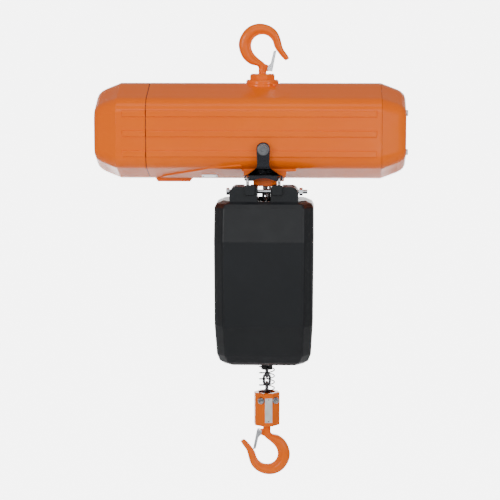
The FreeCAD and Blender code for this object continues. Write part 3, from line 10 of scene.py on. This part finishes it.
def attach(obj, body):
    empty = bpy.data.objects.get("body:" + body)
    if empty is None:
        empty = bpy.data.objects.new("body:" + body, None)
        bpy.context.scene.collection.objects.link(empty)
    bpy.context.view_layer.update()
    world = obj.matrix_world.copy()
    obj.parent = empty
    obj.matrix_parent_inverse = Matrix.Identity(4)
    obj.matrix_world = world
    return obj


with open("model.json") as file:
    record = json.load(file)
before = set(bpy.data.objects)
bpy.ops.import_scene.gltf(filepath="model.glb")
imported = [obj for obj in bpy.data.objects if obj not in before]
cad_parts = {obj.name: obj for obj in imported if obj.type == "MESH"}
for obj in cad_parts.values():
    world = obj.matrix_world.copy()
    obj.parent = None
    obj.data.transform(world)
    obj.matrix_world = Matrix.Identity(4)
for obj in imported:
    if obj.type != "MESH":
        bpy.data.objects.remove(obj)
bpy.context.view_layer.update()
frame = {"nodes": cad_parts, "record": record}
NODES = frame["nodes"]


# ---------------------------------------------------------------- shader helpers
def material(name):
    """A new node material, its tree and its Principled shader."""
    made = bpy.data.materials.new(name)
    made.use_nodes = True
    tree = made.node_tree
    shader = next(n for n in tree.nodes if n.type == "BSDF_PRINCIPLED")
    return made, tree, shader


def add(tree, kind, **values):
    """A node whose sockets and properties are set by name."""
    made = tree.nodes.new(kind)
    for key, value in values.items():
        if key in made.inputs:
            made.inputs[key].default_value = value
        else:
            setattr(made, key, value)
    return made


def coordinates(tree, stretch=(1, 1, 1)):
    """Object coordinates in metres, stretched along the axes."""
    source = add(tree, "ShaderNodeTexCoord")
    mapping = add(tree, "ShaderNodeMapping", Scale=stretch)
    tree.links.new(source.outputs["Object"], mapping.inputs["Vector"])
    return mapping.outputs["Vector"]


def noise(tree, where, scale, detail=3.0, roughness=0.55):
    made = add(tree, "ShaderNodeTexNoise", Scale=scale, Detail=detail, Roughness=roughness)
    tree.links.new(where, made.inputs["Vector"])
    return made.outputs["Fac"]


def cells(tree, where, scale):
    made = add(tree, "ShaderNodeTexVoronoi", Scale=scale)
    tree.links.new(where, made.inputs["Vector"])
    return made.outputs["Distance"]


def spread(tree, source, low, high, from_low=0.3, from_high=0.7):
    """A value remapped to low..high."""
    made = add(tree, "ShaderNodeMapRange")
    for key, value in (("From Min", from_low), ("From Max", from_high), ("To Min", low), ("To Max", high)):
        made.inputs[key].default_value = value
    tree.links.new(source, made.inputs["Value"])
    return made.outputs["Result"]


def maths(tree, operation, first, second):
    made = add(tree, "ShaderNodeMath", operation=operation)
    for socket, value in zip(made.inputs, (first, second)):
        if isinstance(value, (int, float)):
            socket.default_value = value
        else:
            tree.links.new(value, socket)
    return made.outputs["Value"]


def blended(tree, factor, first, second):
    """Two colours, or a colour and a socket, mixed by a factor."""
    made = add(tree, "ShaderNodeMix", data_type="RGBA")
    tree.links.new(factor, made.inputs["Factor"])
    for socket, value in ((made.inputs[6], first), (made.inputs[7], second)):
        if isinstance(value, tuple):
            socket.default_value = (*value, 1)
        else:
            tree.links.new(value, socket)
    return made.outputs[2]


def bumped(tree, shader, layers, edge=0.0):
    """Chains bumps of (height, strength, distance) into the shader's normal, over rounded edges."""
    normal = None
    if edge:
        rounding = add(tree, "ShaderNodeBevel", samples=4, Radius=edge)
        normal = rounding.outputs["Normal"]
    for height, strength, distance in layers:
        bump = add(tree, "ShaderNodeBump", Strength=strength, Distance=distance)
        tree.links.new(height, bump.inputs["Height"])
        if normal:
            tree.links.new(normal, bump.inputs["Normal"])
        normal = bump.outputs["Normal"]
    tree.links.new(normal, shader.inputs["Normal"])


def wear(tree, shade, worn):
    """The worn colour on exposed edges, by the surface's pointiness."""
    geometry = add(tree, "ShaderNodeNewGeometry")
    edges = spread(tree, geometry.outputs["Pointiness"], 0, 1, 0.53, 0.62)
    return blended(tree, edges, shade, worn)


def dust(tree, shade, tint, where, share):
    """A thin, uneven film on upward faces."""
    geometry = add(tree, "ShaderNodeNewGeometry")
    split = add(tree, "ShaderNodeSeparateXYZ")
    tree.links.new(geometry.outputs["Normal"], split.inputs["Vector"])
    upward = spread(tree, split.outputs["Z"], 0, share, 0.35, 1.0)
    film = maths(tree, "MULTIPLY", upward, spread(tree, noise(tree, where, 60, 5), 0.2, 1))
    return blended(tree, film, shade, tint)


# ---------------------------------------------------------------- materials
def paint(name, colour, deep, roughness):
    """Gloss paint on cast metal: orange peel, faint tone changes and a clear coat."""
    made, tree, shader = material(name)
    where = coordinates(tree)
    tone = spread(tree, noise(tree, where, 9, 4), 0, 1)
    shade = blended(tree, tone, colour, deep)
    tree.links.new(shade, shader.inputs["Base Color"])
    speck = noise(tree, where, 1500, 2)
    rough = spread(tree, noise(tree, where, 38, 5), roughness * 0.8, roughness * 1.3)
    tree.links.new(rough, shader.inputs["Roughness"])
    shader.inputs["Coat Weight"].default_value = 0.05
    shader.inputs["Coat Roughness"].default_value = 0.07
    shader.inputs["Specular IOR Level"].default_value = 0.25
    peel = noise(tree, where, 330, 2)
    bumped(tree, shader, [(peel, 0.09, 0.0006), (speck, 0.04, 0.0002)], edge=0.0006)
    return made


def plastic(name, colour, roughness, grain, depth=0.3, gloss=0.5):
    """Moulded plastic with an eroded grain."""
    made, tree, shader = material(name)
    shader.inputs["Specular IOR Level"].default_value = gloss
    where = coordinates(tree)
    tone = spread(tree, noise(tree, where, 14, 5), 0, 1)
    lighter = tuple(c * 1.28 + 0.002 for c in colour)
    shade = dust(tree, blended(tree, tone, colour, lighter), (0.16, 0.16, 0.165), where, 0.06)
    tree.links.new(shade, shader.inputs["Base Color"])
    rough = spread(tree, noise(tree, where, 45, 4), roughness * 0.88, roughness * 1.14)
    tree.links.new(rough, shader.inputs["Roughness"])
    pits = cells(tree, where, grain)
    fine = noise(tree, where, grain * 2, 2)
    bumped(tree, shader, [(pits, depth, 0.00012), (fine, depth * 0.5, 0.00008)], edge=0.0006)
    return made


def metal(name, colour, roughness, stretch, grain, spots=(0.5, 0.5, 0.52)):
    """Bare or plated metal: a directional grain, stains and brighter edges."""
    made, tree, shader = material(name)
    where = coordinates(tree)
    lines = noise(tree, coordinates(tree, stretch), grain, 4)
    stain = spread(tree, noise(tree, where, 70, 6), 0, 1, 0.42, 0.72)
    shade = blended(tree, stain, colour, tuple(c * s for c, s in zip(colour, spots)))
    shade = wear(tree, shade, tuple(min(1, c * 1.5) for c in colour))
    tree.links.new(shade, shader.inputs["Base Color"])
    shader.inputs["Metallic"].default_value = 1.0
    patch = spread(tree, noise(tree, where, 120, 5), roughness * 0.75, roughness * 1.35)
    tree.links.new(maths(tree, "ADD", patch, spread(tree, lines, -0.04, 0.04)), shader.inputs["Roughness"])
    bumped(tree, shader, [(lines, 0.12, 0.0001)], edge=0.0003)
    return made


def cast(name, colour, roughness):
    """A sand-cast surface, grainy and uneven."""
    made, tree, shader = material(name)
    where = coordinates(tree)
    tone = spread(tree, noise(tree, where, 30, 6), 0, 1)
    shade = blended(tree, tone, colour, tuple(c * 0.72 for c in colour))
    tree.links.new(shade, shader.inputs["Base Color"])
    shader.inputs["Metallic"].default_value = 1.0
    rough = spread(tree, noise(tree, where, 200, 4), roughness * 0.85, roughness * 1.2)
    tree.links.new(rough, shader.inputs["Roughness"])
    grit = noise(tree, where, 900, 4)
    bumped(tree, shader, [(grit, 0.35, 0.0002), (cells(tree, where, 420), 0.15, 0.0002)], edge=0.0004)
    return made


def windings(name):
    """Varnished copper wire, wound round the axis along X."""
    made, tree, shader = material(name)
    where = coordinates(tree)
    wave = add(tree, "ShaderNodeTexWave", wave_type="BANDS", bands_direction="X", Scale=330, Distortion=1.5)
    tree.links.new(where, wave.inputs["Vector"])
    shade = blended(tree, wave.outputs["Fac"], (0.2, 0.055, 0.02), (0.72, 0.3, 0.13))
    tree.links.new(shade, shader.inputs["Base Color"])
    shader.inputs["Metallic"].default_value = 0.75
    tree.links.new(spread(tree, noise(tree, where, 150, 4), 0.28, 0.46), shader.inputs["Roughness"])
    bumped(tree, shader, [(wave.outputs["Fac"], 0.8, 0.0004)])
    return made


def laminations(name):
    """A stack of punched steel sheets along X."""
    made, tree, shader = material(name)
    where = coordinates(tree)
    wave = add(tree, "ShaderNodeTexWave", wave_type="BANDS", bands_direction="X", Scale=600)
    tree.links.new(where, wave.inputs["Vector"])
    rust = spread(tree, noise(tree, where, 60, 6), 0, 0.5, 0.5, 0.75)
    shade = blended(tree, rust, (0.24, 0.24, 0.25), (0.16, 0.1, 0.07))
    tree.links.new(shade, shader.inputs["Base Color"])
    shader.inputs["Metallic"].default_value = 0.9
    tree.links.new(spread(tree, noise(tree, where, 240, 4), 0.42, 0.6), shader.inputs["Roughness"])
    bumped(tree, shader, [(wave.outputs["Fac"], 0.6, 0.0002)])
    return made


def board(name):
    """A circuit board's green mask over faint tracks."""
    made, tree, shader = material(name)
    where = coordinates(tree)
    brick = add(tree, "ShaderNodeTexVoronoi", Scale=260, distance="MANHATTAN", feature="F1")
    tree.links.new(where, brick.inputs["Vector"])
    tracks = spread(tree, brick.outputs["Distance"], 1, 0, 0.02, 0.35)
    shade = blended(tree, tracks, (0.008, 0.06, 0.02), (0.03, 0.2, 0.07))
    tree.links.new(shade, shader.inputs["Base Color"])
    tree.links.new(spread(tree, noise(tree, where, 300, 3), 0.28, 0.42), shader.inputs["Roughness"])
    bumped(tree, shader, [(tracks, 0.3, 0.0001)])
    return made


LOOKS = {
    "orange_paint": paint("orange_gloss", (1.0, 0.168, 0.0), (0.97, 0.15, 0.0), 0.2),
    "seal_rubber": plastic("seal_rubber", (0.012, 0.012, 0.013), 0.7, 900),
    "black_steel": metal("black_steel", (0.022, 0.022, 0.025), 0.24, (1, 1, 8), 300),
    "zinc_steel": metal("zinc_steel", (0.62, 0.63, 0.65), 0.26, (1, 6, 1), 500),
    "chain_steel": metal("chain_steel", (0.2, 0.2, 0.21), 0.32, (1, 1, 1), 700, spots=(0.55, 0.5, 0.48)),
    "spring_steel": metal("spring_steel", (0.035, 0.035, 0.038), 0.42, (1, 1, 1), 900),
    "cast_aluminium": cast("cast_aluminium", (0.5, 0.51, 0.53), 0.5),
    "machined_steel": metal("machined_steel", (0.56, 0.57, 0.6), 0.24, (12, 1, 1), 700),
    "laminated_steel": laminations("laminated_steel"),
    "copper_winding": windings("copper_winding"),
    "cast_iron": cast("cast_iron", (0.14, 0.14, 0.145), 0.6),
    "grey_plastic": plastic("grey_plastic", (0.4, 0.41, 0.43), 0.45, 1200),
    "green_board": board("green_board"),
    "label_metal": metal("label_metal", (0.66, 0.68, 0.72), 0.4, (8, 1, 1), 600, spots=(0.8, 0.8, 0.8)),
    "black_plastic": plastic("black_plastic", (0.004, 0.0052, 0.007), 0.38, 1500, gloss=0.36),
    "guide_rubber": plastic("guide_rubber", (0.012, 0.012, 0.012), 0.6, 1000),
}
SLOTS = {row["node"]: row["material_slot"] for row in frame["record"]["subparts"]}
BODY_OF = {node: body for body, nodes in frame["record"]["behaviour"]["bodies"].items() for node in nodes}
# nodes that differ from the other nodes in their slot: the hanger bolt's steel is darker all over, painted
# shade that stands in for the shadow in its hex socket
SHADE_DARKENED_LOOKS = {"hanger_bolt": metal("shade_darkened_steel", (0.2, 0.205, 0.215), 0.3, (1, 1, 1), 700)}


def dress():
    """Puts its painted-shade look, where it has one, or its slot's, on each carried-over node."""
    for name, node in NODES.items():
        node.data.materials.clear()
        node.data.materials.append(SHADE_DARKENED_LOOKS.get(name, LOOKS[SLOTS[name]]))


dress()


# ---------------------------------------------------------------- small pieces
def piece(name, mesh, body, look):
    """A new object from a bmesh, riding on a body in a material slot."""
    data = bpy.data.meshes.new(name)
    mesh.to_mesh(data)
    mesh.free()
    data.shade_smooth()
    data.materials.append(LOOKS[look])
    made = bpy.data.objects.new(name, data)
    bpy.context.collection.objects.link(made)
    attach(made, body)
    return made


def tube(mesh, path, radius, sides=10):
    """A closed round wire along a path of points."""
    rings = []
    side = None
    for i, point in enumerate(path):
        along = (path[min(i + 1, len(path) - 1)] - path[max(i - 1, 0)]).normalized()
        if side is None:
            side = along.orthogonal().normalized()
        side = (side - along * side.dot(along)).normalized()
        other = along.cross(side)
        turns = [2 * math.pi * k / sides for k in range(sides)]
        rings.append([mesh.verts.new(point + side * (radius * math.cos(t)) + other * (radius * math.sin(t)))
                      for t in turns])
    for low, high in zip(rings, rings[1:]):
        for k in range(sides):
            mesh.faces.new((low[k], low[(k + 1) % sides], high[(k + 1) % sides], high[k]))
    mesh.faces.new(rings[0][::-1])
    mesh.faces.new(rings[-1])


# The latches' springs, in millimetres about the latch's pin, with Z along its back
MM = 0.001
WIRE = 0.27
COIL_RADIUS = 2.05
COIL_START = 3.14
COIL_STEP = 0.0095
STEPS_PER_TURN = 30
COIL_STEPS = 73
LEG_X = -3.75
LEG_Y = 2.75
LEG_END = -11.5

# The pins' places: the suspension latch is upside down, and both latches lean
LEAN = Matrix.Rotation(math.radians(11.1), 4, "Y")
HALF_TURN = Matrix.Rotation(math.pi, 4, "Y")
TOP_PIN = Matrix.Translation((0.0102, 0, -0.0502)) @ HALF_TURN @ LEAN
BOTTOM_PIN = Matrix.Translation((-0.0032, 0, -0.5979)) @ LEAN


def latch_spring(name, body, place):
    """A double torsion spring on a latch's pin, its legs along the latch's back."""
    mesh = bmesh.new()
    for side in (-1, 1):
        path = [Vector((LEG_X, side * LEG_Y, LEG_END + i * 0.5)) for i in range(17)]
        for i in range(1, 4):
            path.append(Vector((LEG_X + 0.18 * i ** 1.4, side * (LEG_Y + 0.07 * i), -3 + 0.55 * i)))
        for i in range(COIL_STEPS):
            turn = math.pi + 2 * math.pi * i / STEPS_PER_TURN
            path.append(Vector((COIL_RADIUS * math.cos(turn), side * (COIL_START - COIL_STEP * i),
                                COIL_RADIUS * math.sin(-turn))))
        tube(mesh, [place @ (point * MM) for point in path], WIRE * MM)
    bmesh.ops.recalc_face_normals(mesh, faces=mesh.faces)
    return piece(name, mesh, body, "spring_steel")


RIVET_SIDES = 20
# a rivet's dome, from its foot in the plate: radius and height, as shares of the rivet's radius
RIVET_DOME = ((1.0, -0.1), (1.0, 0.12), (0.9, 0.32), (0.68, 0.5), (0.36, 0.6))


def front_face(node):
    """A plate's largest flat side that looks to the front: its normal and corner points."""
    world = node.matrix_world
    turn = world.to_3x3()
    flat = {}
    for face in node.data.polygons:
        normal = (turn @ face.normal).normalized()
        key = tuple(round(c, 1) for c in normal)
        entry = flat.setdefault(key, [0, normal, []])
        entry[0] += face.area
        entry[2] += [world @ node.data.vertices[v].co for v in face.vertices]
    sides = [row for row in flat.values() if row[1].y < 0]
    return max(sides, key=lambda row: row[0])[1:]


def rivets(name, node, body, inset, radius):
    """A domed rivet near each end of a plate's front face."""
    normal, points = front_face(node)
    low = Vector([min(p[i] for p in points) for i in range(3)])
    high = Vector([max(p[i] for p in points) for i in range(3)])
    middle = (low + high) / 2
    spread_x, spread_z = high.x - low.x, high.z - low.z
    along = Vector((1, 0, 0)) if spread_x > spread_z else Vector((0, 0, 1))
    along = (along - normal * along.dot(normal)).normalized()
    reach = max(spread_x, spread_z) / 2 - inset
    middle += normal * max((p - middle).dot(normal) for p in points)
    mesh = bmesh.new()
    across = normal.cross(along)
    turns = [2 * math.pi * k / RIVET_SIDES for k in range(RIVET_SIDES)]
    for end in (-1, 1):
        centre = middle + along * (end * reach)
        rings = []
        for share, rise in RIVET_DOME:
            rings.append([
                mesh.verts.new(centre + (along * math.cos(t) + across * math.sin(t)) * (radius * share)
                               + normal * (radius * rise))
                for t in turns])
        for below, above in zip(rings, rings[1:]):
            for k in range(RIVET_SIDES):
                after = (k + 1) % RIVET_SIDES
                mesh.faces.new((below[k], below[after], above[after], above[k]))
        mesh.faces.new(rings[0])
        mesh.faces.new(rings[-1])
    bmesh.ops.recalc_face_normals(mesh, faces=mesh.faces)
    return piece(name, mesh, body, "spring_steel")


def details():
    """The springs and rivets that the carried-over nodes lack."""
    latch_spring("top_latch_spring", BODY_OF["suspension_latch"], TOP_PIN)
    latch_spring("bottom_latch_spring", BODY_OF["load_latch"], BOTTOM_PIN)
    rivets("nameplate_rivets", NODES["nameplate"], BODY_OF["nameplate"], 0.002, 0.0009)
    rivets("block_label_rivets", NODES["block_label"], BODY_OF["block_label"], 0.0022, 0.0008)


details()


# ---------------------------------------------------------------- studio
GLOW = 5.5
# The glowing patch of the backdrop: its middle (X, Z), half width, where its fade ends, and its lower edge
GLOW_X, GLOW_Z = -0.11, -0.62
GLOW_HALF, GLOW_FADE = 0.74, 1.15
GLOW_FLOOR, GLOW_FLOOR_FADE = -1.33, -1.42


def emitter(name, place, size, power, aim=(0, 0, -0.3), colour=(1, 1, 1)):
    """A rectangular softbox that faces a point."""
    data = bpy.data.lights.new(name, "AREA")
    data.shape = "RECTANGLE"
    data.size, data.size_y = size
    data.energy = power
    data.color = colour
    light = bpy.data.objects.new(name, data)
    light.location = place
    light.rotation_euler = (Vector(aim) - Vector(place)).to_track_quat("-Z", "Y").to_euler()
    bpy.context.collection.objects.link(light)


def sweep():
    """A pale floor that curves up into a backdrop, which glows behind the object."""
    floor, back, radius, half = -1.9, 2.3, 0.4, 4.5
    profile = [(-4.5, floor), (back - radius, floor)]
    for i in range(1, 17):
        turn = math.radians(90 * i / 16)
        profile.append((back - radius + radius * math.sin(turn), floor + radius - radius * math.cos(turn)))
    profile.append((back, 0.9))
    mesh = bmesh.new()
    rows = [[mesh.verts.new((x, y, z)) for y, z in profile] for x in (-half, half)]
    for i in range(len(profile) - 1):
        mesh.faces.new((rows[0][i], rows[0][i + 1], rows[1][i + 1], rows[1][i]))
    data = bpy.data.meshes.new("studio_sweep")
    mesh.to_mesh(data)
    mesh.free()
    data.shade_smooth()
    made, tree, shader = material("studio_paper")
    where = coordinates(tree)
    shade = blended(tree, noise(tree, where, 3, 4), (0.93, 0.93, 0.93), (0.96, 0.96, 0.96))
    tree.links.new(shade, shader.inputs["Base Color"])
    shader.inputs["Roughness"].default_value = 0.9
    shader.inputs["Emission Color"].default_value = (1, 1, 1, 1)
    split = add(tree, "ShaderNodeSeparateXYZ")
    tree.links.new(where, split.inputs["Vector"])
    sideways = maths(tree, "ABSOLUTE", maths(tree, "ADD", split.outputs["X"], -GLOW_X), 0)
    upright = maths(tree, "ABSOLUTE", maths(tree, "ADD", split.outputs["Z"], -GLOW_Z), 0)
    glow = spread(tree, maths(tree, "MAXIMUM", sideways, upright), GLOW, 0, GLOW_HALF, GLOW_FADE)
    edge = spread(tree, split.outputs["Z"], 0, 1, GLOW_FLOOR_FADE, GLOW_FLOOR)
    glow = maths(tree, "MULTIPLY", glow, edge)
    tree.links.new(glow, shader.inputs["Emission Strength"])
    data.materials.append(made)
    floor_object = bpy.data.objects.new("studio_sweep", data)
    bpy.context.collection.objects.link(floor_object)


def studio():
    """The backdrop, the even light of the room and the softboxes."""
    sweep()
    world = bpy.data.worlds.new("studio_world")
    bpy.context.scene.world = world
    world.use_nodes = True
    background = world.node_tree.nodes["Background"]
    background.inputs["Color"].default_value = (1, 1, 1, 1)
    background.inputs["Strength"].default_value = 0.34
    emitter("key_left", (-1.7, -2.1, 0.4), (0.8, 1.5), 26)
    emitter("key_right", (1.9, -1.9, 0.3), (0.6, 1.5), 17)
    emitter("top_box", (0, -1.3, 1.8), (2.2, 0.8), 9, aim=(0, 0, -0.1))
    emitter("front_fill", (0.1, -3.6, 0.8), (2.2, 1.1), 22)
    emitter("patch_box", (0.36, -3.6, -0.33), (0.16, 0.5), 1.6, aim=(0.2, 0, -0.13))
    emitter("low_card", (-0.15, -3.6, -0.72), (0.7, 0.3), 2.2, colour=(0.85, 0.93, 1.0))


def camera():
    """A long lens, slightly above the object and to its right."""
    data = bpy.data.cameras.new("camera")
    data.sensor_width = 36
    data.lens = 134.4
    data.clip_end = 20
    made = bpy.data.objects.new("camera", data)
    place, target = Vector((0.093, -2.7769, 0.0202)), Vector((-0.0185, 0, -0.321))
    made.location = place
    made.rotation_euler = (target - place).to_track_quat("-Z", "Y").to_euler()
    bpy.context.collection.objects.link(made)
    bpy.context.scene.camera = made


studio()
camera()
